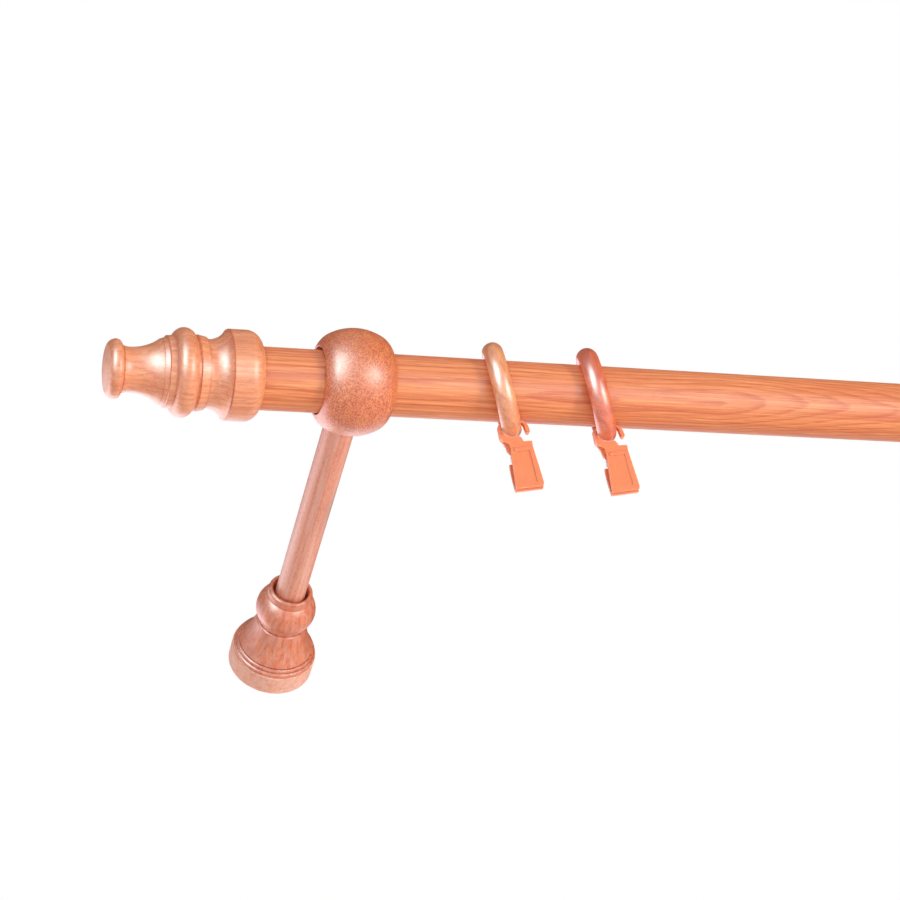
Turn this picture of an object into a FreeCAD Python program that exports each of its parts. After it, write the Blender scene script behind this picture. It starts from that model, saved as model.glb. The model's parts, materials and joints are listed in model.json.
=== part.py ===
import FreeCAD, Part
import math
import os

# Wooden curtain rod set: a 28 mm pole carried by two long wall brackets, closed by two turned finials,
# with wooden rings that slide on the pole and a sprung plastic clip on each ring.
# Millimetres. +X runs along the pole, +Y points into the wall, +Z is up.
# The origin is the centre of the left bracket's wall face, on the axis of its arm.

V = FreeCAD.Vector
X_AXIS = V(1, 0, 0)
Y_AXIS = V(0, 1, 0)
Z_AXIS = V(0, 0, 1)
ORIGIN = V(0, 0, 0)

# pole
POLE_RADIUS = 14.0
POLE_LENGTH = 1200.0
POLE_END_CHAMFER = 1.0
BRACKET_INSET = 59.0

# bracket, measured along the arm from the centre of the ball to the wall
PROJECTION = 188.0
BALL_RADIUS = 24.0
BALL_HALF_WIDTH = 16.2
BALL_ROLL_START = 11.5
BORE_RADIUS = 15.0
BORE_MOUTH_ROUND = 0.4
POLE_DROP = 0.8
SPOT_FACE_DEPTH = 1.3
SPOT_FACE_RADIUS = 8.4
ARM_RADIUS = 7.2
ARM_END_CHAMFER = 0.5
ARM_START = 16.4
SOCKET_CLEARANCE = 0.1
DISC_RADIUS = 20.8
DISC_THICKNESS = 11.2
DISC_EDGE_FILLET = 1.2
DISC_FRONT_FILLET = 0.5
DISC_SOCKET_DEPTH = 6.5
ROSETTE_GAP = 0.3
ROSETTE_MOUTH = 134.6
ROSETTE_BORE_RADIUS = 7.55
ROSETTE_COUNTERBORE_RADIUS = 8.8
ROSETTE_COUNTERBORE_DEPTH = 8.0
ROSETTE_HOLLOW_RADIUS = 16.6
ROSETTE_HOLLOW_DEPTH = 5.5

# screws
WALL_SCREW_SPACING = 25.0
WALL_SCREW_HOLE_RADIUS = 2.25
WALL_SCREW_HEAD_RADIUS = 4.3
WALL_SCREW_HEAD_DEPTH = 2.4
ARM_SCREW_RADIUS = 2.0
ARM_SCREW_HEAD_RADIUS = 4.0
ARM_SCREW_HEAD_DEPTH = 2.2
ARM_SCREW_LENGTH = 34.0
ARM_SCREW_SINK = 0.4
LOCK_SCREW_RADIUS = 1.75
LOCK_SCREW_HEAD_RADIUS = 3.4
LOCK_SCREW_HEAD_DEPTH = 2.0
LOCK_SCREW_BITE = 3.0
LOCK_SCREW_SINK = 0.9
SCREW_TIP_LENGTH = 3.0
SCREW_CLEARANCE = 0.08
SCREW_LEAD = 1.0
SLOT_WIDTH = 0.9
SLOT_DEPTH = 0.8

# finial
FINIAL_MOUTH = 43.1
FINIAL_BORE_RADIUS = 15.4
FINIAL_RISE = 0.3
FINIAL_BORE_DEPTH = 18.0

# rings
RING_INNER_RADIUS = 17.1
RING_OUTER_RADIUS = 22.5
RING_HALF_WIDTH = 4.5
RING_INNER_LAND = 2.4
RING_WIDEST_RADIUS = 19.4
RING_SHOULDER_MIDDLE = (3.9, 17.8)
RING_STATIONS = (70.0, 116.0)
RING_YAWS = (23.5, 24.0)
RING_LEANS = (0.8, 0.8)
RING_RISES = (0.3, 0.4)

# clips: X across, Y from the front to the back, Z up, from the middle of the ring's section
CLIP_ROUND_RING = 25.0
CLIP_YAW = 13.0
CLIP_LEAN = 2.5
HOOK_DEPTH = 2.8
GUSSET_FRONT = 0.3
GUSSET_LAP = 1.0
PLATE_FRONT = -1.7
PLATE_BACK = -0.3
PLATE_TOP = -8.9
PLATE_BOTTOM = -28.0
BAR_BOTTOM = -8.6
BAR_RIGHT = 7.7
GROOVE_DEPTH = 0.4
WEB_LAP = 1.0
PANEL_DEPTH = 0.4
BOSS_RADIUS = 0.9
BOSS_SINK = 0.3
GRIP_RIDGE_HEIGHT = 0.5
PIVOT_X = 2.4
PIVOT_Y = 3.0
PIVOT_Z = -12.5
PIN_RADIUS = 0.75
PIN_HALF_LENGTH = 4.9
PIN_END_CHAMFER = 0.15
PRESS_CLEARANCE = 0.02
PIN_CLEARANCE = 0.32
BODY_EAR_INNER = 3.55
BODY_EAR_OUTER = 4.7
JAW_EAR_INNER = 2.15
JAW_EAR_OUTER = 3.2
EAR_RADIUS = 1.75
LEVER_HALF_WIDTH = 2.6
JAW_SHOULDER = -14.0
JAW_SIDE = -6.0
JAW_BLANK_WIDTH = 18.0
JAW_BLANK_DEPTH = 9.0
JAW_TOP = -5.0
JAW_BOTTOM = -29.0
MOULD_LAP = 0.2
JAW_EAR_END = 5.9
SPRING_RADIUS = 1.2
SPRING_WIRE_RADIUS = 0.25
SPRING_TURNS = 4
SPRING_PITCH = 0.8
SPRING_LONG_LEG = 4.0
SPRING_SHORT_LEG = 0.9


def outline(start, pieces):
    """A closed face from a start point and pieces: (end,) is a straight line, (middle, end) is an arc."""
    edges = []
    here = start
    for piece in pieces:
        end = piece[-1]
        if len(piece) == 1:
            edges.append(Part.LineSegment(here, end).toShape())
        else:
            edges.append(Part.Arc(here, piece[0], end).toShape())
        here = end
    return Part.Face(Part.Wire(edges))


def turned(start, pieces):
    """A lathe-turned solid about X. Points are (distance along the axis, radius)."""
    flat = [tuple(V(s, r, 0) for s, r in piece) for piece in pieces]
    face = outline(V(start[0], start[1], 0), flat)
    return face.revolve(ORIGIN, X_AXIS, 360)


def moved(shape, *steps):
    """A copy of a shape after rotations (axis, degrees) and shifts (vector), in order."""
    placement = FreeCAD.Placement()
    for step in steps:
        if isinstance(step, tuple):
            axis, degrees = step
            placement = FreeCAD.Placement(ORIGIN, FreeCAD.Rotation(axis, degrees)).multiply(placement)
        else:
            placement = FreeCAD.Placement(step, FreeCAD.Rotation()).multiply(placement)
    copy = shape.copy()
    copy.transformShape(placement.toMatrix(), True)
    return copy


def slab(x0, x1, y0, y1, z0, z1):
    return Part.makeBox(x1 - x0, y1 - y0, z1 - z0, V(x0, y0, z0))


def edges_on_circle(shape, x, radius, tolerance=0.05):
    """The round edges about X at one station and radius."""
    found = []
    for edge in shape.Edges:
        if edge.Degenerated or not isinstance(edge.Curve, Part.Circle):
            continue
        curve = edge.Curve
        if abs(curve.Center.x - x) < tolerance and abs(curve.Radius - radius) < tolerance:
            found.append(edge)
    return found


def wood_screw(radius, head_radius, head_depth, length):
    """A countersunk wood screw along +X with its slotted head face at x = 0."""
    shank_end = length - SCREW_TIP_LENGTH
    screw = turned((0, 0), [
        ((0, head_radius),),
        ((head_depth, radius),),
        ((shank_end, radius),),
        ((length, 0),),
        ((0, 0),),
    ])
    slot = slab(-SLOT_DEPTH, SLOT_DEPTH, -head_radius, head_radius, -SLOT_WIDTH / 2, SLOT_WIDTH / 2)
    return screw.cut(slot)


def screw_hole(radius, head_radius, head_depth, length, lead):
    """The clearance a wood screw needs, opened out in front of its head by a lead."""
    wide = head_radius + SCREW_CLEARANCE
    narrow = radius + SCREW_CLEARANCE
    return turned((-lead, 0), [
        ((-lead, wide),),
        ((0, wide),),
        ((head_depth, narrow),),
        ((length + SCREW_CLEARANCE, narrow),),
        ((length + SCREW_CLEARANCE, 0),),
        ((-lead, 0),),
    ])


def pole():
    rod = Part.makeCylinder(POLE_RADIUS, POLE_LENGTH, ORIGIN, X_AXIS)
    rod = rod.makeChamfer(POLE_END_CHAMFER, rod.Edges[:1] + rod.Edges[2:3])
    rod = moved(rod, V(-BRACKET_INSET, -PROJECTION, -POLE_DROP))
    for x in bracket_stations():
        rod = rod.cut(placed_on_ball(lock_screw_hole(), x))
    return rod


def bracket_stations():
    return (0.0, POLE_LENGTH - 2 * BRACKET_INSET)


def placed_on_ball(shape, x):
    """From the ball's own frame, X along the arm to the wall, to the bracket at a station on the pole."""
    return moved(shape, (Z_AXIS, 90), V(x, -PROJECTION, 0))


def lock_screw_depth():
    return LOCK_SCREW_SINK + BALL_RADIUS - BORE_RADIUS + POLE_DROP + LOCK_SCREW_BITE


def lock_screw():
    screw = wood_screw(LOCK_SCREW_RADIUS, LOCK_SCREW_HEAD_RADIUS, LOCK_SCREW_HEAD_DEPTH, lock_screw_depth())
    return moved(screw, (Y_AXIS, 90), V(0, 0, BALL_RADIUS - LOCK_SCREW_SINK))


def lock_screw_hole():
    hole = screw_hole(LOCK_SCREW_RADIUS, LOCK_SCREW_HEAD_RADIUS, LOCK_SCREW_HEAD_DEPTH,
                      lock_screw_depth(), LOCK_SCREW_SINK + SCREW_LEAD)
    return moved(hole, (Y_AXIS, 90), V(0, 0, BALL_RADIUS - LOCK_SCREW_SINK))


def tangent_middle(start, slope, end):
    """The middle of the arc that leaves a point at an angle and ends at another point."""
    run = end[0] - start[0]
    rise = end[1] - start[1]
    sagitta_ratio = math.tan((slope - math.atan2(rise, run)) / 2) / 2
    return (start[0] + run / 2 - rise * sagitta_ratio, start[1] + rise / 2 + run * sagitta_ratio)


def bracket_ball():
    """A ball whose sides roll into a cross bore, turned about the pole and set with X along the arm."""
    roll_height = math.sqrt(BALL_RADIUS ** 2 - BALL_ROLL_START ** 2)
    roll_start = (BALL_ROLL_START, roll_height)
    mouth_rim = (BALL_HALF_WIDTH, BORE_RADIUS + BORE_MOUTH_ROUND)
    roll_middle = tangent_middle(roll_start, -math.atan2(BALL_ROLL_START, roll_height), mouth_rim)
    corner = BORE_MOUTH_ROUND * (1 - math.sqrt(0.5))
    mouth_middle = (BALL_HALF_WIDTH - corner, BORE_RADIUS + corner)
    bore_end = (BALL_HALF_WIDTH - BORE_MOUTH_ROUND, BORE_RADIUS)

    def mirrored(point):
        return (-point[0], point[1])

    ball = turned(mirrored(bore_end), [
        (bore_end,),
        (mouth_middle, mouth_rim),
        (roll_middle, roll_start),
        ((0, BALL_RADIUS), mirrored(roll_start)),
        (mirrored(roll_middle), mirrored(mouth_rim)),
        (mirrored(mouth_middle), mirrored(bore_end)),
    ])
    ball = moved(ball, (Z_AXIS, -90))
    spot_start = V(BALL_RADIUS - SPOT_FACE_DEPTH, 0, 0)
    spot_face = Part.makeCylinder(SPOT_FACE_RADIUS, BALL_RADIUS, spot_start, X_AXIS)
    socket_start = V(ARM_START - SOCKET_CLEARANCE, 0, 0)
    socket = Part.makeCylinder(ARM_RADIUS + SOCKET_CLEARANCE, BALL_RADIUS, socket_start, X_AXIS)
    return ball.cut(spot_face).cut(socket).cut(lock_screw_hole())


def arm():
    """The dowel from the ball's socket to the bottom of the wall disc's socket."""
    length = PROJECTION - DISC_THICKNESS + DISC_SOCKET_DEPTH - ARM_START
    dowel = Part.makeCylinder(ARM_RADIUS, length, V(ARM_START, 0, 0), X_AXIS)
    dowel = dowel.makeChamfer(ARM_END_CHAMFER, dowel.Edges[:1] + dowel.Edges[2:3])
    return dowel.cut(arm_screw_hole())


def arm_screw():
    screw = wood_screw(ARM_SCREW_RADIUS, ARM_SCREW_HEAD_RADIUS, ARM_SCREW_HEAD_DEPTH, ARM_SCREW_LENGTH)
    return moved(screw, (Z_AXIS, 180), V(PROJECTION - ARM_SCREW_SINK, 0, 0))


def arm_screw_hole():
    hole = screw_hole(ARM_SCREW_RADIUS, ARM_SCREW_HEAD_RADIUS, ARM_SCREW_HEAD_DEPTH,
                      ARM_SCREW_LENGTH, ARM_SCREW_SINK + SCREW_LEAD)
    return moved(hole, (Z_AXIS, 180), V(PROJECTION - ARM_SCREW_SINK, 0, 0))


def wall_disc():
    front = PROJECTION - DISC_THICKNESS
    disc = Part.makeCylinder(DISC_RADIUS, DISC_THICKNESS, V(front, 0, 0), X_AXIS)
    disc = disc.makeFillet(DISC_EDGE_FILLET, edges_on_circle(disc, PROJECTION, DISC_RADIUS))
    disc = disc.makeFillet(DISC_FRONT_FILLET, edges_on_circle(disc, front, DISC_RADIUS))
    socket = Part.makeCylinder(ARM_RADIUS + SOCKET_CLEARANCE, DISC_SOCKET_DEPTH + SOCKET_CLEARANCE,
                               V(front, 0, 0), X_AXIS)
    disc = disc.cut(socket).cut(arm_screw_hole())
    for side in (-1, 1):
        hole = screw_hole(WALL_SCREW_HOLE_RADIUS - SCREW_CLEARANCE, WALL_SCREW_HEAD_RADIUS,
                          WALL_SCREW_HEAD_DEPTH, DISC_THICKNESS + SCREW_LEAD, SCREW_LEAD)
        disc = disc.cut(moved(hole, V(front, side * WALL_SCREW_SPACING / 2, 0)))
    return disc


def rosette():
    """The turned cover that slides on the arm: lip, round bead, waist and a bell with two fine rings."""
    back = PROJECTION - DISC_THICKNESS - ROSETTE_GAP
    mouth = ROSETTE_MOUTH
    hollow = back - ROSETTE_HOLLOW_DEPTH
    return turned((mouth + ROSETTE_COUNTERBORE_DEPTH, ROSETTE_BORE_RADIUS), [
        ((mouth + ROSETTE_COUNTERBORE_DEPTH - 1, ROSETTE_COUNTERBORE_RADIUS),),
        ((mouth + 0.4, ROSETTE_COUNTERBORE_RADIUS),),
        ((mouth, ROSETTE_COUNTERBORE_RADIUS + 0.4),),
        ((mouth + 0.1, 10.0), (mouth + 1.6, 10.8)),
        ((mouth + 3.4, 10.9), (mouth + 4.6, 10.6)),
        ((148.0, 14.5), (154.6, 11.9)),
        ((156.4, 11.5),),
        ((156.5, 12.1), (157.2, 12.6)),
        ((165.6, 14.8), (172.2, 18.1)),
        ((172.7, 17.7),),
        ((173.1, 19.0), (174.3, 19.1)),
        ((174.6, 18.8),),
        ((175.0, 19.9), (back, 20.2)),
        ((back, ROSETTE_HOLLOW_RADIUS),),
        ((hollow + 1, ROSETTE_HOLLOW_RADIUS),),
        ((hollow, ROSETTE_BORE_RADIUS + 3),),
        ((hollow, ROSETTE_BORE_RADIUS),),
        ((mouth + ROSETTE_COUNTERBORE_DEPTH, ROSETTE_BORE_RADIUS),),
    ])


def finial():
    """Turned end cap. X runs outward from the mouth that the pole enters."""
    return turned((FINIAL_BORE_DEPTH, 0), [
        ((FINIAL_BORE_DEPTH, FINIAL_BORE_RADIUS),),
        ((0.3, FINIAL_BORE_RADIUS),),
        ((0, FINIAL_BORE_RADIUS + 0.3),),
        ((2.0, 18.5), (6.2, 20.1)),
        ((14.2, 20.1),),
        ((14.5, 19.6),),
        ((14.8, 19.8),),
        ((16.8, 17.3), (19.8, 15.6)),
        ((21.8, 15.1), (23.8, 15.2)),
        ((24.0, 16.0),),
        ((27.7, 16.8),),
        ((28.2, 16.1),),
        ((29.0, 16.2),),
        ((29.3, 17.2),),
        ((33.5, 19.6), (38.0, 16.8)),
        ((38.3, 16.0),),
        ((41.2, 15.7),),
        ((41.5, 15.1),),
        ((43.3, 14.2),),
        ((43.6, 14.3),),
        ((48.6, 11.4), (56.0, 9.85)),
        ((58.2, 9.95), (60.0, 10.5)),
        ((60.4, 10.3),),
        ((61.3, 12.5), (63.4, 13.0)),
        ((65.7, 11.8), (66.7, 9.2)),
        ((67.5, 5.0), (67.8, 1.2)),
        ((67.8, 0),),
        ((FINIAL_BORE_DEPTH, 0),),
    ])


def ring():
    """A turned ring about X: a flat inner land, round shoulders and a crowned outside."""
    half = RING_HALF_WIDTH
    land = RING_INNER_LAND
    shoulder_x, shoulder_radius = RING_SHOULDER_MIDDLE
    return turned((-land, RING_INNER_RADIUS), [
        ((land, RING_INNER_RADIUS),),
        (RING_SHOULDER_MIDDLE, (half, RING_WIDEST_RADIUS)),
        ((0, RING_OUTER_RADIUS), (-half, RING_WIDEST_RADIUS)),
        ((-shoulder_x, shoulder_radius), (-land, RING_INNER_RADIUS)),
    ])


def side_plate(start, pieces, front, back):
    """A flat moulding in the clip's X-Z plane between two depths. Points are (x, z)."""
    flat = [tuple(V(x, front, z) for x, z in piece) for piece in pieces]
    return outline(V(start[0], front, start[1]), flat).extrude(V(0, back - front, 0))


def hook_and_bar():
    """An open hook round the ring's section that runs down its left arm into the shoulder bar."""
    return side_plate((-6.45, -2.6), [
        ((-6.45, 0.8),),
        ((-5.6, 3.4), (-3.2, 4.2)),
        ((3.0, 4.2),),
        ((6.0, 3.3), (7.5, 0.6)),
        ((7.7, -0.9),),
        ((7.4, -2.1), (6.6, -2.4)),
        ((6.2, -2.0),),
        ((5.9, -0.4),),
        ((5.7, 0.8),),
        ((5.1, 2.6), (3.2, 3.25)),
        ((-3.2, 3.25),),
        ((-4.9, 2.6), (-5.45, 0.8)),
        ((-3.9, -1.8), (0, -3.4)),
        ((2.6, -3.4),),
        ((3.4, -4.6),),
        ((3.9, -6.0),),
        ((BAR_RIGHT, -6.2),),
        ((BAR_RIGHT, BAR_BOTTOM),),
        ((-2.8, BAR_BOTTOM),),
        ((-2.9, -6.6),),
        ((-5.6, -4.6),),
        ((-6.25, -3.8), (-6.45, -2.6)),
    ], -HOOK_DEPTH / 2, HOOK_DEPTH / 2)


def gusset():
    """The web behind the bar that stiffens the corner between the hook and the plate."""
    return side_plate((-6.1, -4.0), [
        ((-4.8, -6.4), (-4.1, -9.8)),
        ((-2.6, -11.8),),
        ((-1.8, -11.8),),
        ((-1.8, BAR_BOTTOM + GUSSET_LAP),),
        ((-4.8, -4.0),),
        ((-6.1, -4.0),),
    ], GUSSET_FRONT, HOOK_DEPTH / 2)


def jaw_outline(front, back, bottom):
    """The flared outline that both jaws share."""
    return side_plate((-2.8, PLATE_TOP), [
        ((7.5, PLATE_TOP),),
        ((9.0, bottom + 1.6),),
        ((8.6, bottom),),
        ((-4.1, bottom),),
        ((-2.8, PLATE_TOP),),
    ], front, back)


def front_plate():
    """The front jaw: a flared plate with a sunk panel, a small boss and a gripping ridge at its back."""
    plate = jaw_outline(PLATE_FRONT, PLATE_BACK, PLATE_BOTTOM)
    panel = side_plate((0.3, -10.6), [
        ((5.7, -10.6),),
        ((6.3, -25.8),),
        ((-0.4, -25.8),),
        ((0.3, -10.6),),
    ], PLATE_FRONT - PANEL_DEPTH, PLATE_FRONT + PANEL_DEPTH)
    web = slab(-2.6, 7.4, PLATE_FRONT + GROOVE_DEPTH, PLATE_BACK, PLATE_TOP - WEB_LAP, BAR_BOTTOM + WEB_LAP)
    ridge = slab(-3.6, 8.2, PLATE_BACK - MOULD_LAP, PLATE_BACK + GRIP_RIDGE_HEIGHT, -27.4, -26.2)
    boss = Part.makeSphere(BOSS_RADIUS, V(-0.8, PLATE_FRONT + BOSS_SINK, -9.9))
    return plate.cut(panel).fuse([web, ridge, boss])


def ears(inner, outer, y_far):
    """A pair of lugs round the pivot that reach from it to a jaw at a given depth."""
    lugs = []
    y_low = min(PIVOT_Y, y_far)
    y_high = max(PIVOT_Y, y_far)
    for x in (PIVOT_X - outer, PIVOT_X + inner):
        lugs.append(Part.makeCylinder(EAR_RADIUS, outer - inner, V(x, PIVOT_Y, PIVOT_Z), X_AXIS))
        lugs.append(slab(x, x + outer - inner, y_low, y_high, PIVOT_Z - EAR_RADIUS, PIVOT_Z + EAR_RADIUS))
    return lugs


def pin_bore(clearance):
    reach = 2 * PIN_HALF_LENGTH
    return Part.makeCylinder(PIN_RADIUS + clearance, 2 * reach, V(PIVOT_X - reach, PIVOT_Y, PIVOT_Z), X_AXIS)


def clip_body():
    """Hook, shoulder bar, gusset and front jaw in one moulding, with two ears that hold the pin."""
    pieces = [gusset(), front_plate()] + ears(BODY_EAR_INNER, BODY_EAR_OUTER, PLATE_BACK - MOULD_LAP)
    return hook_and_bar().fuse(pieces).removeSplitter().cut(pin_bore(PRESS_CLEARANCE))


def clip_jaw():
    """The rear jaw: a narrow thumb lever above the pivot and a wide curved jaw that meets the front plate."""
    section = [
        ((5.3, -9.0), (5.0, -12.0)),
        ((5.2, -14.6), (4.7, -18.0)),
        ((3.0, -23.0), (0.7, -27.2)),
        ((0.7, -28.7),),
        ((2.0, -28.7),),
        ((4.5, -23.2), (6.1, -18.0)),
        ((6.6, -14.6), (6.4, -12.0)),
        ((6.7, -9.0), (7.6, -6.8)),
        ((6.2, -6.6),),
    ]
    flat = [tuple(V(JAW_SIDE, y, z) for y, z in piece) for piece in section]
    blade = outline(flat[-1][-1], flat).extrude(V(JAW_BLANK_WIDTH, 0, 0))
    far_side = JAW_SIDE + JAW_BLANK_WIDTH
    below = slab(JAW_SIDE, far_side, 0, JAW_BLANK_DEPTH, JAW_BOTTOM, JAW_SHOULDER)
    wide = jaw_outline(0, JAW_BLANK_DEPTH, JAW_BOTTOM).common(below)
    lever_left = PIVOT_X - LEVER_HALF_WIDTH
    lever_right = PIVOT_X + LEVER_HALF_WIDTH
    lever = slab(lever_left, lever_right, 0, JAW_BLANK_DEPTH, JAW_SHOULDER, JAW_TOP)
    jaw = blade.common(wide.fuse(lever))
    jaw = jaw.fuse(ears(JAW_EAR_INNER, JAW_EAR_OUTER, JAW_EAR_END)).removeSplitter()
    return jaw.cut(pin_bore(PIN_CLEARANCE))


def clip_pin():
    start = V(PIVOT_X - PIN_HALF_LENGTH, PIVOT_Y, PIVOT_Z)
    pin = Part.makeCylinder(PIN_RADIUS, 2 * PIN_HALF_LENGTH, start, X_AXIS)
    return pin.makeChamfer(PIN_END_CHAMFER, pin.Edges[:1] + pin.Edges[2:3])


def clip_spring():
    """A torsion spring round the pin, with one leg down the front jaw."""
    height = SPRING_TURNS * SPRING_PITCH
    helix = Part.makeHelix(SPRING_PITCH, height, SPRING_RADIUS)
    start = V(SPRING_RADIUS, 0, 0)
    section = Part.Wire(Part.makeCircle(SPRING_WIRE_RADIUS, start, Y_AXIS))
    coil = Part.Wire(helix).makePipeShell([section], True, True)
    leg = Part.makeCylinder(SPRING_WIRE_RADIUS, SPRING_LONG_LEG, start, V(0, -1, 0))
    end_leg = Part.makeCylinder(SPRING_WIRE_RADIUS, SPRING_SHORT_LEG, V(SPRING_RADIUS, 0, height), Y_AXIS)
    spring = coil.fuse(leg).fuse(end_leg)
    spring = moved(spring, V(0, 0, -height / 2), (Y_AXIS, 90), (X_AXIS, 90))
    return moved(spring, V(PIVOT_X, PIVOT_Y, PIVOT_Z))


def ring_places():
    """Centre, yaw and lean of each ring, two beside each bracket, with the right pair mirrored."""
    right = bracket_stations()[1]
    places = {"left": [], "right": []}
    for x, yaw, lean, rise in zip(RING_STATIONS, RING_YAWS, RING_LEANS, RING_RISES):
        height = rise - POLE_DROP
        places["left"].append((V(x, -PROJECTION, height), yaw, lean))
        places["right"].append((V(right - x, -PROJECTION, height), -yaw, -lean))
    return places


def on_ring(shape, hand, centre, yaw, lean):
    """From the clip's frame to its place on a ring: turned in its hook and round the ring, then placed."""
    middle = (RING_INNER_RADIUS + RING_OUTER_RADIUS) / 2
    return moved(
        shape,
        (Y_AXIS, hand * CLIP_LEAN),
        (Z_AXIS, hand * CLIP_YAW),
        V(0, 0, -middle),
        (X_AXIS, CLIP_ROUND_RING),
        (Y_AXIS, lean),
        (Z_AXIS, -yaw),
        centre,
    )


def all_parts():
    parts = {"pole": pole()}
    for side, x in zip(("left", "right"), bracket_stations()):
        parts[side + "_bracket_ball"] = placed_on_ball(bracket_ball(), x)
        parts[side + "_bracket_arm"] = placed_on_ball(arm(), x)
        parts[side + "_rosette"] = placed_on_ball(rosette(), x)
        parts[side + "_wall_disc"] = placed_on_ball(wall_disc(), x)
        parts[side + "_arm_screw"] = placed_on_ball(arm_screw(), x)
        parts[side + "_pole_lock_screw"] = placed_on_ball(lock_screw(), x)
    right = bracket_stations()[1]
    parts["left_finial"] = moved(finial(), (Z_AXIS, 180), V(-FINIAL_MOUTH, -PROJECTION, FINIAL_RISE))
    parts["right_finial"] = moved(finial(), V(right + FINIAL_MOUTH, -PROJECTION, FINIAL_RISE))
    clip_pieces = {
        "clip_body": clip_body(),
        "clip_jaw": clip_jaw(),
        "clip_pin": clip_pin(),
        "clip_spring": clip_spring(),
    }
    ring_shape = ring()
    hands = {"left": 1, "right": -1}
    for side, places in ring_places().items():
        for number, (centre, yaw, lean) in enumerate(places, 1):
            name = "{}_ring_{}".format(side, number)
            parts[name] = moved(ring_shape, (Y_AXIS, lean), (Z_AXIS, -yaw), centre)
            for piece, shape in clip_pieces.items():
                parts["{}_{}_{}".format(side, piece, number)] = on_ring(shape, hands[side], centre, yaw, lean)
    return parts


def main():
    os.makedirs("parts", exist_ok=True)
    for name, shape in all_parts().items():
        if len(shape.Solids) != 1 or not shape.isValid():
            raise RuntimeError("{}: {} solids, valid {}".format(name, len(shape.Solids), shape.isValid()))
        shape.exportStep("parts/" + name + ".step")
        print(name, round(shape.Volume, 1))


main()
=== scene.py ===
import json
import math

import bmesh
import bpy
from mathutils import Matrix, Vector

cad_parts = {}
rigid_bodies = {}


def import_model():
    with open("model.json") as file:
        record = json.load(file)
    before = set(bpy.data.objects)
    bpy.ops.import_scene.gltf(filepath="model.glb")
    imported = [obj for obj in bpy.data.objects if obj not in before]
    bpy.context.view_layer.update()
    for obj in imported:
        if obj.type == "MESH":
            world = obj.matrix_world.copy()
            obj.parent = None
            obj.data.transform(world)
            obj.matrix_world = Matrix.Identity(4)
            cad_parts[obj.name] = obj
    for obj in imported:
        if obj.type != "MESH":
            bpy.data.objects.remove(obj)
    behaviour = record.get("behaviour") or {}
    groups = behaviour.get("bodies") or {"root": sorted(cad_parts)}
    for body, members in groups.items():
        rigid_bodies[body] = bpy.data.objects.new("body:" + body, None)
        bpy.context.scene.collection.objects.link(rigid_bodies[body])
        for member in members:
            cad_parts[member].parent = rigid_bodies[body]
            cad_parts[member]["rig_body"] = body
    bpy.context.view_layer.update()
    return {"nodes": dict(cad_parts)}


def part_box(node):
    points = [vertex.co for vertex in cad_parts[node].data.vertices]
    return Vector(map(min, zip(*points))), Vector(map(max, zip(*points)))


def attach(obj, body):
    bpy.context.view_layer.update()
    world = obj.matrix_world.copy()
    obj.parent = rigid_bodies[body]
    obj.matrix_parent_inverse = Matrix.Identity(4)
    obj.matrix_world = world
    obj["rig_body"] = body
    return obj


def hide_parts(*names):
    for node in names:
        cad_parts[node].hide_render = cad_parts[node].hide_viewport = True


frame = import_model()
NODES = frame["nodes"]
MM = 0.001

# ---------------------------------------------------------------- where things are


def middle(node):
    low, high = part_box(node)
    return (low + high) / 2


POLE_MIDDLE = middle("pole")
LEFT_BALL = middle("left_bracket_ball")

# The camera's place in metres, its picture's right and up directions, and its lens.
CAMERA_PLACE = (-0.2762, -0.8373, -0.7366)
PICTURE_RIGHT = (0.9489, -0.2463, -0.1973)
PICTURE_UP = (-0.0431, -0.7205, 0.6921)
LENS_MM = 92.0
SENSOR_MM = 36.0

# ---------------------------------------------------------------- node helpers


def linear(rgb):
    """An sRGB colour in 0-255 as the linear colour that the shader takes."""
    out = []
    for c in rgb:
        c = c / 255
        out.append(c / 12.92 if c <= 0.04045 else ((c + 0.055) / 1.055) ** 2.4)
    return (*out, 1.0)


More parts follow.
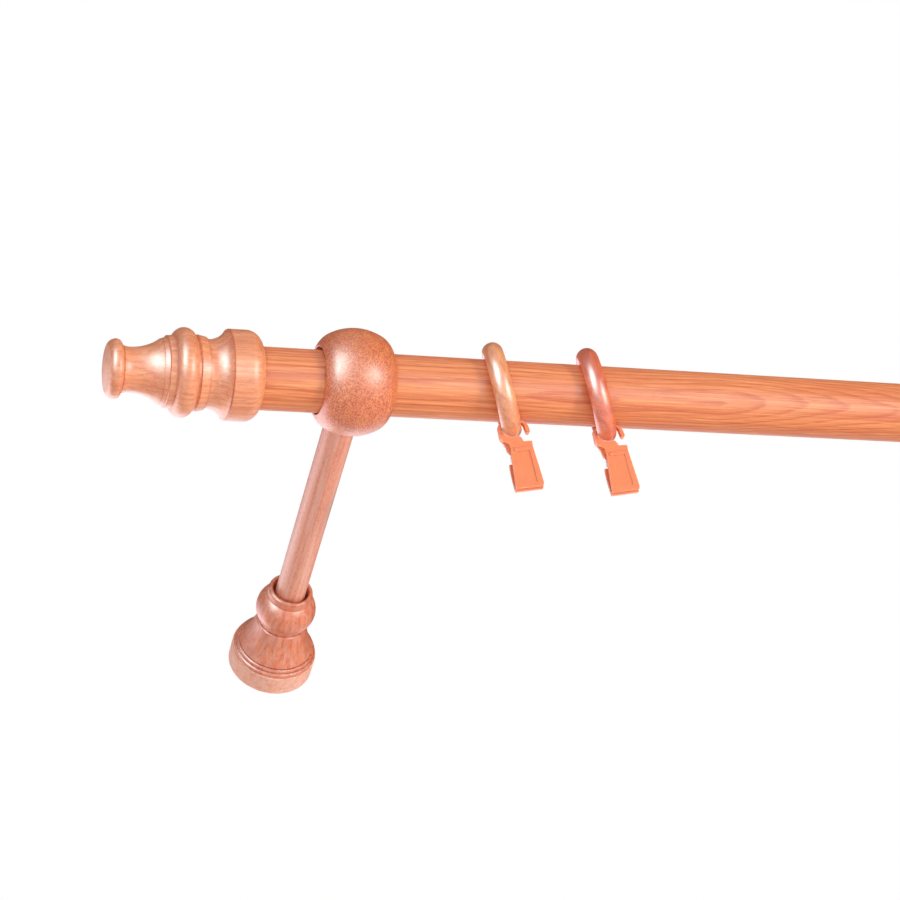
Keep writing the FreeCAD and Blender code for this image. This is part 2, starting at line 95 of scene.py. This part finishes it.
class Shader:
    """A material's node tree with short names for the nodes that are used most."""

    def __init__(self, name):
        self.material = bpy.data.materials.new(name)
        self.material.use_nodes = True
        self.tree = self.material.node_tree
        self.tree.nodes.clear()
        out = self.new("ShaderNodeOutputMaterial")
        self.bsdf = self.new("ShaderNodeBsdfPrincipled")
        self.tree.links.new(self.bsdf.outputs["BSDF"], out.inputs["Surface"])

    def new(self, kind):
        return self.tree.nodes.new(kind)

    def put(self, socket, value):
        """Links a socket to another one, or gives it a plain value."""
        if isinstance(value, bpy.types.NodeSocket):
            self.tree.links.new(value, socket)
        elif value is not None:
            socket.default_value = value

    def set(self, **values):
        """Sets the surface's inputs by name, with _ for a space."""
        for name, value in values.items():
            self.put(self.bsdf.inputs[name.replace("_", " ")], value)

    def math(self, operation, a, b=None, c=None, clamp=False):
        node = self.new("ShaderNodeMath")
        node.operation = operation
        node.use_clamp = clamp
        for socket, value in zip(node.inputs, (a, b, c)):
            self.put(socket, value)
        return node.outputs[0]

    def scaled(self, vector, scale):
        node = self.new("ShaderNodeVectorMath")
        node.operation = "SCALE"
        self.put(node.inputs[0], vector)
        self.put(node.inputs["Scale"], scale)
        return node.outputs["Vector"]

    def length(self, vector):
        node = self.new("ShaderNodeVectorMath")
        node.operation = "LENGTH"
        self.put(node.inputs[0], vector)
        return node.outputs["Value"]

    def noise(self, vector, detail=3.0, rough=0.55, scale=1.0, distortion=0.0):
        node = self.new("ShaderNodeTexNoise")
        self.put(node.inputs["Vector"], vector)
        node.inputs["Scale"].default_value = scale
        node.inputs["Detail"].default_value = detail
        node.inputs["Roughness"].default_value = rough
        node.inputs["Distortion"].default_value = distortion
        return node.outputs["Fac"]

    def ramp(self, value, *stops):
        """Maps a value through (position, grey) stops."""
        node = self.new("ShaderNodeValToRGB")
        self.put(node.inputs["Fac"], value)
        elements = node.color_ramp.elements
        while len(elements) > 1:
            elements.remove(elements[-1])
        for index, (position, grey) in enumerate(stops):
            element = elements[0] if index == 0 else elements.new(position)
            element.position = position
            element.color = (grey, grey, grey, 1)
        return node.outputs["Color"]

    def mix(self, factor, a, b, blend="MIX"):
        node = self.new("ShaderNodeMix")
        node.data_type = "RGBA"
        node.blend_type = blend
        node.clamp_factor = True
        # A mix node has one set of inputs for each data type: 0 is the factor, 6 and 7 are the colours.
        self.put(node.inputs[0], factor)
        self.put(node.inputs[6], a)
        self.put(node.inputs[7], b)
        return node.outputs[2]

    def millimetres(self, centre=(0, 0, 0)):
        """The piece's own coordinates from a centre, in millimetres."""
        shifted = self.new("ShaderNodeVectorMath")
        shifted.operation = "SUBTRACT"
        self.put(shifted.inputs[0], self.new("ShaderNodeTexCoord").outputs["Object"])
        self.put(shifted.inputs[1], tuple(centre))
        return self.scaled(shifted.outputs["Vector"], 1 / MM)

    def split(self, vector):
        node = self.new("ShaderNodeSeparateXYZ")
        self.put(node.inputs[0], vector)
        return node.outputs

    def join(self, x, y, z):
        node = self.new("ShaderNodeCombineXYZ")
        for socket, value in zip(node.inputs, (x, y, z)):
            self.put(socket, value)
        return node.outputs[0]

    def bump(self, height, strength, depth_mm):
        node = self.new("ShaderNodeBump")
        node.inputs["Strength"].default_value = strength
        node.inputs["Distance"].default_value = depth_mm * MM
        self.put(node.inputs["Height"], height)
        return node.outputs["Normal"]

    def closeness(self, reach_mm, inside):
        """How closed in a point is: 0 on a flat face, more in a corner, or near an edge if inside."""
        node = self.new("ShaderNodeAmbientOcclusion")
        node.samples = 8
        node.inside = inside
        node.only_local = True
        node.inputs["Distance"].default_value = reach_mm * MM
        return self.math("SUBTRACT", 1.0, node.outputs["AO"])


# ---------------------------------------------------------------- wood

# Which coordinates run along the fibres and across them.
GRAIN_ORDER = {"X": (0, 1, 2), "Y": (1, 0, 2), "Z": (2, 0, 1)}

# Noise layers: cycles per mm along and across the fibres, shift, detail, roughness.
DRIFT = (0.006, 0.03, 3.1, 2.0, 0.55)
WOBBLE = (0.03, 0.22, 8.7, 3.0, 0.55)
FIBRE = (0.012, 0.75, 1.7, 6.0, 0.7)
BAND = (0.005, 0.2, 5.3, 3.0, 0.6)
HAIR = (0.03, 1.25, 2.2, 5.0, 0.75)
CLOUD = (0.02, 0.05, 7.7, 2.0, 0.55)
GROOVE_DARKENING_NOISE = (0.4, 0.3, 6.1, 3.0, 0.55)
SHEEN_PATCHES = (0.02, 0.5, 9.4, 4.0, 0.55)
# The pores' layer, whose two scales differ from piece to piece.
PORE_SHIFT, PORE_DETAIL, PORE_ROUGHNESS = 4.9, 5.0, 0.75

DRIFT_MM = 9.0
WOBBLE_MM = 1.3
ARC_LENGTH_MM = 260.0
# How dark a growth ring is from its spring edge (0) to its autumn edge (1).
RING_PROFILE = ((0.0, 0.12), (0.35, 0.2), (0.62, 0.45), (0.84, 1.0), (0.93, 0.85), (1.0, 0.12))
PORE_DARKENING = (0.85, 0.7, 0.6)
CLOUD_TINT = (1.0, 0.78, 0.62, 1.0)
SHEEN_PATCH_SHARE = 0.55
HAIR_HEIGHT = 0.5
PORE_DEPTH = 0.8
WOOD_BUMP = 0.55
LACQUER_BUMP = 0.22


def wood(name, centre, grain, tones, *, pith, gap, ring_share, streak_share, fleck, fleck_share, rough,
         coat, coat_rough, seed, bright_share=0.5, fleck_edge=(0.52, 0.62), arc_start=None, arc_slope=0.0,
         grooves=(), painted_sheen_tint=None, relief=0.05, coat_index=1.6):
    """Stained, lacquered solid wood: growth rings, long fibres, short dark pores and darker lines along the
    turned grooves.

    tones are light, middle and dark in sRGB, and blush is the pale colour of a painted sheen, laid in random
    patches. grain is the axis that the fibres follow. pith is how far the rings' centre is from the piece's,
    and gap is the width of a ring.
    fleck gives the pores' cycles per mm along and across the fibres. grooves are (place along the fibres,
    half width). Past arc_start the rings run off at arc_slope, which draws long arcs. Lengths are in mm."""
    s = Shader(name)
    light, mid, dark = (linear(t) for t in tones)
    place = s.split(s.millimetres(centre))
    u, v, w = (place[i] for i in GRAIN_ORDER[grain])

    def layer(along, across, shift, detail, roughness):
        stretched = s.join(s.math("MULTIPLY_ADD", u, along, shift + seed), s.math("MULTIPLY", v, across),
                           s.math("MULTIPLY", w, across))
        return s.noise(stretched, detail=detail, rough=roughness)

    radius = s.length(s.join(0.0, s.math("ADD", v, pith[0]), s.math("ADD", w, pith[1])))
    radius = s.math("MULTIPLY_ADD", layer(*DRIFT), DRIFT_MM, radius)
    radius = s.math("MULTIPLY_ADD", layer(*WOBBLE), WOBBLE_MM, radius)
    if arc_start is not None:
        beyond = s.math("MAXIMUM", s.math("SUBTRACT", u, arc_start), 0.0)
        radius = s.math("MULTIPLY_ADD", s.math("PINGPONG", beyond, ARC_LENGTH_MM), arc_slope, radius)
    ring = s.ramp(s.math("FRACT", s.math("DIVIDE", radius, gap)), *RING_PROFILE)
    fibre = layer(*FIBRE)
    hair = layer(*HAIR)
    streak = s.ramp(layer(*BAND), (0.45, 0.0), (0.62, 1.0))
    pore = layer(*fleck, PORE_SHIFT, PORE_DETAIL, PORE_ROUGHNESS)
    flecks = s.ramp(pore, (fleck_edge[0], 0.0), (fleck_edge[1], 1.0))
    deep = tuple(c * k for c, k in zip(dark, PORE_DARKENING)) + (1.0,)

    colour = s.mix(s.ramp(fibre, (0.36, 0.0), (0.64, 1.0)), mid, light)
    colour = s.mix(s.math("MULTIPLY", streak, streak_share), colour, dark)
    colour = s.mix(s.math("MULTIPLY", ring, ring_share), colour, dark)
    colour = s.mix(s.ramp(hair, (0.36, bright_share), (0.47, 0.0)), colour, light)
    colour = s.mix(s.math("MULTIPLY", flecks, fleck_share), colour, deep)
    colour = s.mix(s.ramp(layer(*CLOUD), (0.35, 0.0), (0.7, 0.14)), colour, CLOUD_TINT, "MULTIPLY")
    # Darker lines along the turned grooves, broken up by noise.
    if grooves:
        groove_darkening = 0.0
        for station, half_width in grooves:
            away = s.math("ABSOLUTE", s.math("SUBTRACT", u, station))
            line = s.math("SUBTRACT", 1.0, s.math("DIVIDE", away, half_width), clamp=True)
            groove_darkening = s.math("MAXIMUM", groove_darkening, line)
        groove_darkening = s.math("MULTIPLY", groove_darkening, s.ramp(layer(*GROOVE_DARKENING_NOISE), (0.25, 0.35), (0.7, 0.75)))
        colour = s.mix(groove_darkening, colour, deep)
    # Painted sheen: pale patches in the blush colour stand in for the white surroundings seen at grazing
    # angles.
    if painted_sheen_tint is not None:
        painted_sheen_patches = s.math("MULTIPLY", s.ramp(layer(*SHEEN_PATCHES), (0.42, 0.0), (0.62, 1.0)), SHEEN_PATCH_SHARE)
        colour = s.mix(painted_sheen_patches, colour, linear(painted_sheen_tint))

    height = s.math("SUBTRACT", s.math("MULTIPLY", hair, HAIR_HEIGHT),
                    s.math("MULTIPLY", flecks, PORE_DEPTH))
    s.set(Base_Color=colour, Roughness=s.ramp(fibre, (0.3, rough - 0.05), (0.7, rough + 0.08)),
          Normal=s.bump(height, WOOD_BUMP, relief), Coat_Normal=s.bump(height, LACQUER_BUMP, relief),
          IOR=1.45, Coat_Weight=coat, Coat_Roughness=coat_rough, Coat_IOR=coat_index)
    return s.material


# ---------------------------------------------------------------- plastic and metal

# Colour of the painted highlight along the clips' convex edges.
PAINTED_EDGE_HIGHLIGHT = (255, 206, 180)
CORNER_SHADE_REACH_MM = 1.0
EDGE_HIGHLIGHT_REACH_MM = 0.5


def moulded_plastic(name, tones):
    """Coloured polypropylene: faint flow marks and a fine moulded grain, with painted shade in the corners
    and a painted highlight along the edges.
    """
    s = Shader(name)
    light, mid, dark = (linear(t) for t in tones)
    place = s.millimetres()
    flow = s.noise(s.scaled(place, 0.22), distortion=0.8)
    grain = s.noise(s.scaled(place, 3.5))
    colour = s.mix(s.ramp(flow, (0.3, 0.0), (0.7, 1.0)), mid, light)
    colour = s.mix(s.ramp(grain, (0.3, 0.1), (0.5, 0.0)), colour, dark)
    # Painted shade: the colour darkens in corners and creases, where shade falls.
    corner = s.ramp(s.closeness(CORNER_SHADE_REACH_MM, False), (0.3, 0.0), (0.75, 1.0))
    colour = s.mix(corner, colour, dark)
    # Painted highlight: pale colour along the convex edges, broken up by the flow marks.
    edge = s.ramp(s.closeness(EDGE_HIGHLIGHT_REACH_MM, True), (0.3, 0.0), (0.65, 0.95))
    painted_edge_highlight = s.math("MULTIPLY", edge, s.ramp(flow, (0.3, 0.5), (0.7, 1.0)))
    colour = s.mix(painted_edge_highlight, colour, linear(PAINTED_EDGE_HIGHLIGHT))
    s.set(Base_Color=colour, Roughness=s.ramp(grain, (0.3, 0.27), (0.7, 0.36)),
          Normal=s.bump(grain, 0.25, 0.03), IOR=1.49,
          Subsurface_Weight=0.12, Subsurface_Scale=1.5 * MM, Subsurface_Radius=(1.0, 0.5, 0.3))
    return s.material


def metal(name, clean, tarnished, rough, drawn):
    """Metal with fine scratches, at drawn cycles per mm along each axis, and a little tarnish."""
    s = Shader(name)
    place = s.millimetres()
    stretched = (s.math("MULTIPLY", part, scale) for part, scale in zip(s.split(place), drawn))
    lines = s.noise(s.join(*stretched), detail=4.0, rough=0.65)
    tarnish = s.ramp(s.noise(s.scaled(place, 0.9), detail=4.0), (0.4, 0.0), (0.7, 0.8))
    s.set(Base_Color=s.mix(tarnish, linear(clean), linear(tarnished)), Metallic=1.0,
          Roughness=s.ramp(lines, (0.3, rough - 0.08), (0.7, rough + 0.12)), Normal=s.bump(lines, 0.3, 0.02))
    return s.material


# ---------------------------------------------------------------- finer copies of the clips' mouldings

WELD = 0.002 * MM
FLAT_ANGLE = math.radians(1.0)
EDGE_ANGLE = math.radians(32)
EASE_SEGMENTS = 3


def evaluated_mesh(obj, name):
    """An object's mesh with its modifiers applied."""
    graph = bpy.context.evaluated_depsgraph_get()
    mesh = bpy.data.meshes.new_from_object(obj.evaluated_get(graph))
    mesh.name = name
    return mesh


def eased(node, material, width_mm):
    """The node's shape with its sharp moulded edges rounded over, standing in for the plain node."""
    name = node + "_moulded"
    mesh = NODES[node].data.copy()
    mesh.name = name
    build = bmesh.new()
    build.from_mesh(mesh)
    bmesh.ops.remove_doubles(build, verts=build.verts, dist=WELD)
    bmesh.ops.dissolve_limit(build, angle_limit=FLAT_ANGLE, verts=build.verts, edges=build.edges)
    build.to_mesh(mesh)
    build.free()
    if "custom_normal" in mesh.attributes:
        mesh.attributes.remove(mesh.attributes["custom_normal"])
    mesh.materials.clear()
    mesh.materials.append(material)
    piece = bpy.data.objects.new(name, mesh)
    bpy.context.scene.collection.objects.link(piece)
    bevel = piece.modifiers.new("ease", "BEVEL")
    bevel.width = width_mm * MM
    bevel.segments = EASE_SEGMENTS
    bevel.limit_method = "ANGLE"
    bevel.angle_limit = EDGE_ANGLE
    bevel.use_clamp_overlap = True
    bevel.harden_normals = False
    weighted = piece.modifiers.new("flat faces", "WEIGHTED_NORMAL")
    weighted.mode = "FACE_AREA"
    weighted.weight = 100
    for polygon in mesh.polygons:
        polygon.use_smooth = True
    bpy.context.view_layer.update()
    final = evaluated_mesh(piece, name)
    piece.modifiers.clear()
    piece.data = final
    bpy.data.meshes.remove(mesh)
    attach(piece, NODES[node]["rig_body"])
    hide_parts(node)


# ---------------------------------------------------------------- materials for every node

STEEL = metal("bright_steel", (214, 214, 216), (138, 134, 132), 0.3, (2.0, 9.0, 9.0))
BRASS = metal("brass_screw", (222, 190, 120), (146, 108, 62), 0.36, (6.0, 6.0, 6.0))
CLIP = moulded_plastic("clip_plastic", ((255, 150, 100), (250, 144, 94), (196, 76, 44)))
CLIP_EASING_MM = {"clip_body": 0.28, "clip_jaw": 0.22}

POLE_TONES = ((252, 168, 104), (230, 126, 68), (194, 76, 36))
BALL_TONES = ((255, 164, 98), (234, 122, 62), (206, 86, 38))
FINIAL_TONES = ((254, 178, 122), (240, 140, 86), (206, 92, 52))
ARM_TONES = ((244, 166, 134), (234, 148, 114), (216, 112, 80))
DISC_TONES = ((250, 186, 156), (244, 170, 138), (218, 132, 100))
ROSETTE_TONES = ((238, 140, 90), (220, 110, 64), (182, 68, 36))
RING_TONES = {
    1: ((255, 180, 116), (248, 148, 86), (206, 92, 48)),
    2: ((255, 138, 76), (244, 104, 50), (186, 48, 24)),
}
# Turned lines: how far each is from the finial's mouth or the rosette's lip, and its half width, in mm.
FINIAL_LINES = ((14.5, 0.7), (23.9, 0.7), (28.6, 0.8), (38.4, 0.8), (41.4, 0.6), (43.5, 0.5), (60.3, 0.6))
ROSETTE_LINES = ((0.6, 0.8), (21.8, 0.8), (38.1, 0.7), (40.0, 0.6))


def paint(node, material):
    data = NODES[node].data
    data.materials.clear()
    data.materials.append(material)


paint("pole",
      wood("pole_wood", (0, POLE_MIDDLE.y, POLE_MIDDLE.z), "X", POLE_TONES, pith=(20.0, 22.0), gap=2.1,
           ring_share=0.6, streak_share=0.3, bright_share=0.75, fleck=(0.04, 1.1), fleck_share=0.35,
           arc_start=172.0, arc_slope=0.08, rough=0.55, coat=0.25, coat_rough=0.5, seed=0.4))

for side, outward, seed in (("left", -1, 2.3), ("right", 1, 6.8)):
    paint(side + "_bracket_ball",
          wood(side + "_ball_wood", middle(side + "_bracket_ball"), "Y", BALL_TONES, pith=(34.0, -12.0),
               gap=5.0, ring_share=0.15, streak_share=0.25, fleck=(1.0, 1.5), fleck_share=0.95,
               fleck_edge=(0.47, 0.56), rough=0.5, coat=1.0, coat_rough=0.4, relief=0.06, seed=seed))

    low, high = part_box(side + "_finial")
    finial = middle(side + "_finial")
    finial_mouth = (high.x if side == "left" else low.x, finial.y, finial.z)
    paint(side + "_finial",
          wood(side + "_finial_wood", finial_mouth, "X", FINIAL_TONES, pith=(26.0, 9.0), gap=2.8,
               ring_share=0.36, streak_share=0.3, fleck=(0.16, 1.2), fleck_share=0.45, rough=0.5, coat=1.0,
               coat_rough=0.42, seed=seed + 1,
               grooves=[(outward * distance, width) for distance, width in FINIAL_LINES]))

    paint(side + "_bracket_arm",
          wood(side + "_arm_wood", middle(side + "_bracket_arm"), "Y", ARM_TONES, pith=(18.0, 6.0), gap=4.0,
               ring_share=0.16, streak_share=0.25, fleck=(0.5, 1.5), fleck_share=0.55, fleck_edge=(0.48, 0.6),
               rough=0.5, coat=0.7, coat_rough=0.42, seed=seed + 2, painted_sheen_tint=(240, 190, 168)))

    paint(side + "_wall_disc",
          wood(side + "_disc_wood", middle(side + "_wall_disc"), "Z", DISC_TONES, pith=(28.0, 10.0), gap=3.2,
               ring_share=0.2, streak_share=0.25, fleck=(0.5, 1.2), fleck_share=0.45, rough=0.6, coat=0.08,
               coat_rough=0.4, seed=seed + 3, painted_sheen_tint=(244, 200, 182)))

    low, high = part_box(side + "_rosette")
    rosette = middle(side + "_rosette")
    paint(side + "_rosette",
          wood(side + "_rosette_wood", (rosette.x, low.y, rosette.z), "Y", ROSETTE_TONES, pith=(24.0, 15.0),
               gap=4.2, ring_share=0.25, streak_share=0.3, fleck=(0.3, 1.2), fleck_share=0.5, rough=0.46,
               coat=0.8, coat_rough=0.38, seed=seed + 4, grooves=ROSETTE_LINES, painted_sheen_tint=(222, 160, 134)))

    for number in (1, 2):
        ring = "{}_ring_{}".format(side, number)
        paint(ring, wood(ring + "_wood", middle(ring), "Z", RING_TONES[number], pith=(14.0, -8.0), gap=5.5,
                         ring_share=0.4, streak_share=0.4, fleck=(0.14, 1.2), fleck_share=0.45, rough=0.42,
                         coat=1.0, coat_rough=0.42, coat_index=1.95, seed=seed + 5 * number))
        for part, easing in CLIP_EASING_MM.items():
            node = "{}_{}_{}".format(side, part, number)
            eased(node, CLIP, easing)
            paint(node, CLIP)
        paint("{}_clip_pin_{}".format(side, number), STEEL)
        paint("{}_clip_spring_{}".format(side, number), STEEL)
    paint(side + "_arm_screw", BRASS)
    paint(side + "_pole_lock_screw", BRASS)

# ---------------------------------------------------------------- stage, lights and camera

FLOOR_HEIGHT = -1.8
FLOOR_RADIUS = 30.0
FLOOR_GLOW = 0.2
FLOOR_TONES = ((0.9, 0.9, 0.9, 1), (0.94, 0.94, 0.94, 1))

LAMP_DISTANCE = 3.0
LAMP_COLOUR = (1.0, 0.99, 0.98)
KEY_FROM = (-0.69, -0.72, -0.01)
# Each lamp's name, direction, the direction of its height, width and height in metres, radiance, and what it
# lights. A sheen lamp is seen only in the gloss, so the highlights have their own size and strength.
LAMPS = (
    ("key", KEY_FROM, PICTURE_UP, 1.2, 2.3, 1.0, "diffuse"),
    ("key_sheen", KEY_FROM, PICTURE_UP, 1.3, 2.4, 28.0, "glossy"),
    ("second", (0.74, -0.58, -0.33), PICTURE_UP, 0.5, 0.5, 60.0, "diffuse"),
    ("top", (0.0, -0.4, 0.92), (0.0, 1.0, 0.0), 1.5, 1.5, 4.6, "diffuse"),
    ("second_sheen", (0.52, -0.73, -0.42), PICTURE_UP, 1.0, 1.1, 25.0, "glossy"),
)

# The room's light: a direction, the range of the cosine to it, and the strength at both ends of that range.
FILL = ((-0.3, -0.3, -0.9), (-0.1, 0.9), (0.44, 0.12))
FILL_COLOUR = (1.0, 0.97, 0.98, 1)
PAPER = ((-0.386, 0.756, -0.531), (0.0, 0.8), (0.03, 4.2))
PAPER_COLOUR = (0.95, 0.91, 1.0, 1)


def floor():
    """A wide pale floor, well below the object."""
    build = bmesh.new()
    bmesh.ops.create_circle(build, cap_ends=True, segments=96, radius=FLOOR_RADIUS)
    mesh = bpy.data.meshes.new("floor")
    build.to_mesh(mesh)
    build.free()
    ground = bpy.data.objects.new("floor", mesh)
    bpy.context.scene.collection.objects.link(ground)
    ground.location = (POLE_MIDDLE.x, 0.0, FLOOR_HEIGHT)
    s = Shader("floor_paint")
    s.set(Base_Color=s.mix(s.noise(s.millimetres(), scale=0.004), *FLOOR_TONES), Roughness=0.8,
          Emission_Color=(0.96, 0.94, 1.0, 1), Emission_Strength=FLOOR_GLOW)
    mesh.materials.append(s.material)


def soft_light(name, direction, upward, width, height, radiance, lights):
    """A rectangular soft box that faces the left bracket's ball, with its height along upward."""
    data = bpy.data.lights.new(name, "AREA")
    data.shape = "RECTANGLE"
    data.size = width
    data.size_y = height
    data.energy = radiance * math.pi * width * height
    data.color = LAMP_COLOUR
    lamp = bpy.data.objects.new(name, data)
    bpy.context.scene.collection.objects.link(lamp)
    back = Vector(direction).normalized()
    right = Vector(upward).cross(back).normalized()
    turn = Matrix((right, back.cross(right), back)).transposed()
    lamp.matrix_world = Matrix.Translation(LEFT_BALL + back * LAMP_DISTANCE) @ turn.to_4x4()
    lamp.visible_camera = False
    lamp.visible_diffuse = lights == "diffuse"
    lamp.visible_glossy = lights == "glossy"


def surroundings():
    """White behind the object, a soft fill on its surfaces and a bright sheet of paper in its gloss."""
    world = bpy.data.worlds.new("studio")
    bpy.context.scene.world = world
    world.use_nodes = True
    tree = world.node_tree
    tree.nodes.clear()
    new, link = tree.nodes.new, tree.links.new
    where = new("ShaderNodeTexCoord").outputs["Generated"]
    path = new("ShaderNodeLightPath")

    def gradient(direction, cosines, strengths, kind):
        towards = new("ShaderNodeVectorMath")
        towards.operation = "DOT_PRODUCT"
        link(where, towards.inputs[0])
        towards.inputs[1].default_value = direction
        spread = new("ShaderNodeMapRange")
        spread.interpolation_type = kind
        for name, value in zip(("From Min", "From Max", "To Min", "To Max"), cosines + strengths):
            spread.inputs[name].default_value = value
        link(towards.outputs["Value"], spread.inputs["Value"])
        return spread.outputs["Result"]

    def background(colour, strength=None):
        node = new("ShaderNodeBackground")
        node.inputs["Color"].default_value = colour
        if strength is not None:
            link(strength, node.inputs["Strength"])
        return node.outputs[0]

    def chosen(test, otherwise, then):
        node = new("ShaderNodeMixShader")
        for socket, source in zip(node.inputs, (path.outputs[test], otherwise, then)):
            link(source, socket)
        return node.outputs[0]

    fill = background(FILL_COLOUR, gradient(*FILL, "LINEAR"))
    paper = background(PAPER_COLOUR, gradient(*PAPER, "SMOOTHSTEP"))
    white = background((1, 1, 1, 1))
    seen = chosen("Is Camera Ray", chosen("Is Glossy Ray", fill, paper), white)
    link(seen, new("ShaderNodeOutputWorld").inputs[0])


def camera():
    """The photograph's viewpoint: from the front, left and below, with the wall side away."""
    data = bpy.data.cameras.new("camera")
    data.sensor_width = SENSOR_MM
    data.lens = LENS_MM
    data.clip_start = 0.01
    data.clip_end = 100.0
    eye = bpy.data.objects.new("camera", data)
    bpy.context.scene.collection.objects.link(eye)
    right = Vector(PICTURE_RIGHT)
    back = right.cross(Vector(PICTURE_UP)).normalized()
    up = back.cross(right).normalized()
    turn = Matrix((right.normalized(), up, back)).transposed()
    eye.matrix_world = Matrix.Translation(CAMERA_PLACE) @ turn.to_4x4()
    bpy.context.scene.camera = eye


bpy.context.scene.view_settings.view_transform = "Standard"
bpy.context.scene.view_settings.look = "None"
floor()
surroundings()
for lamp in LAMPS:
    soft_light(*lamp)
camera()
